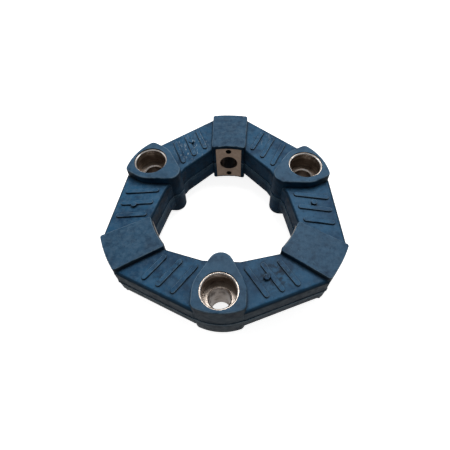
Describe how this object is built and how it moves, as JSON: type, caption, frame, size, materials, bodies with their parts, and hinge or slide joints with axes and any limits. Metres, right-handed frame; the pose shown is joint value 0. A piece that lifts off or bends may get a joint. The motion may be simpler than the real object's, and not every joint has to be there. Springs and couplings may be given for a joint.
{
  "type": "disc coupling",
  "caption": "Flexible rubber coupling ring with bonded metal inserts: axial bolts take one flange and radial bolts take the other hub, so the rubber legs carry torque and misalignment.",
  "frame": {"origin": "centre of the axial bolt circle, on the lower clamping face", "axes": "+Z runs along the coupling's axis, out of the counterbored side; +Y points through a radial insert; +X completes the right-handed set"},
  "size_m": [0.1244, 0.1271, 0.032],
  "materials": {
    "rubber": "matte moulded blue-grey rubber, darker on the walls, lightly scuffed",
    "insert_metal": "machined aluminium, dull grey with a bright turned rim"
  },
  "bodies": {
    "root": {"rubber_element": "rubber", "axial_insert_1": "insert_metal", "axial_insert_2": "insert_metal", "axial_insert_3": "insert_metal", "radial_insert_1": "insert_metal", "radial_insert_2": "insert_metal", "radial_insert_3": "insert_metal"}
  },
  "joints": []
}
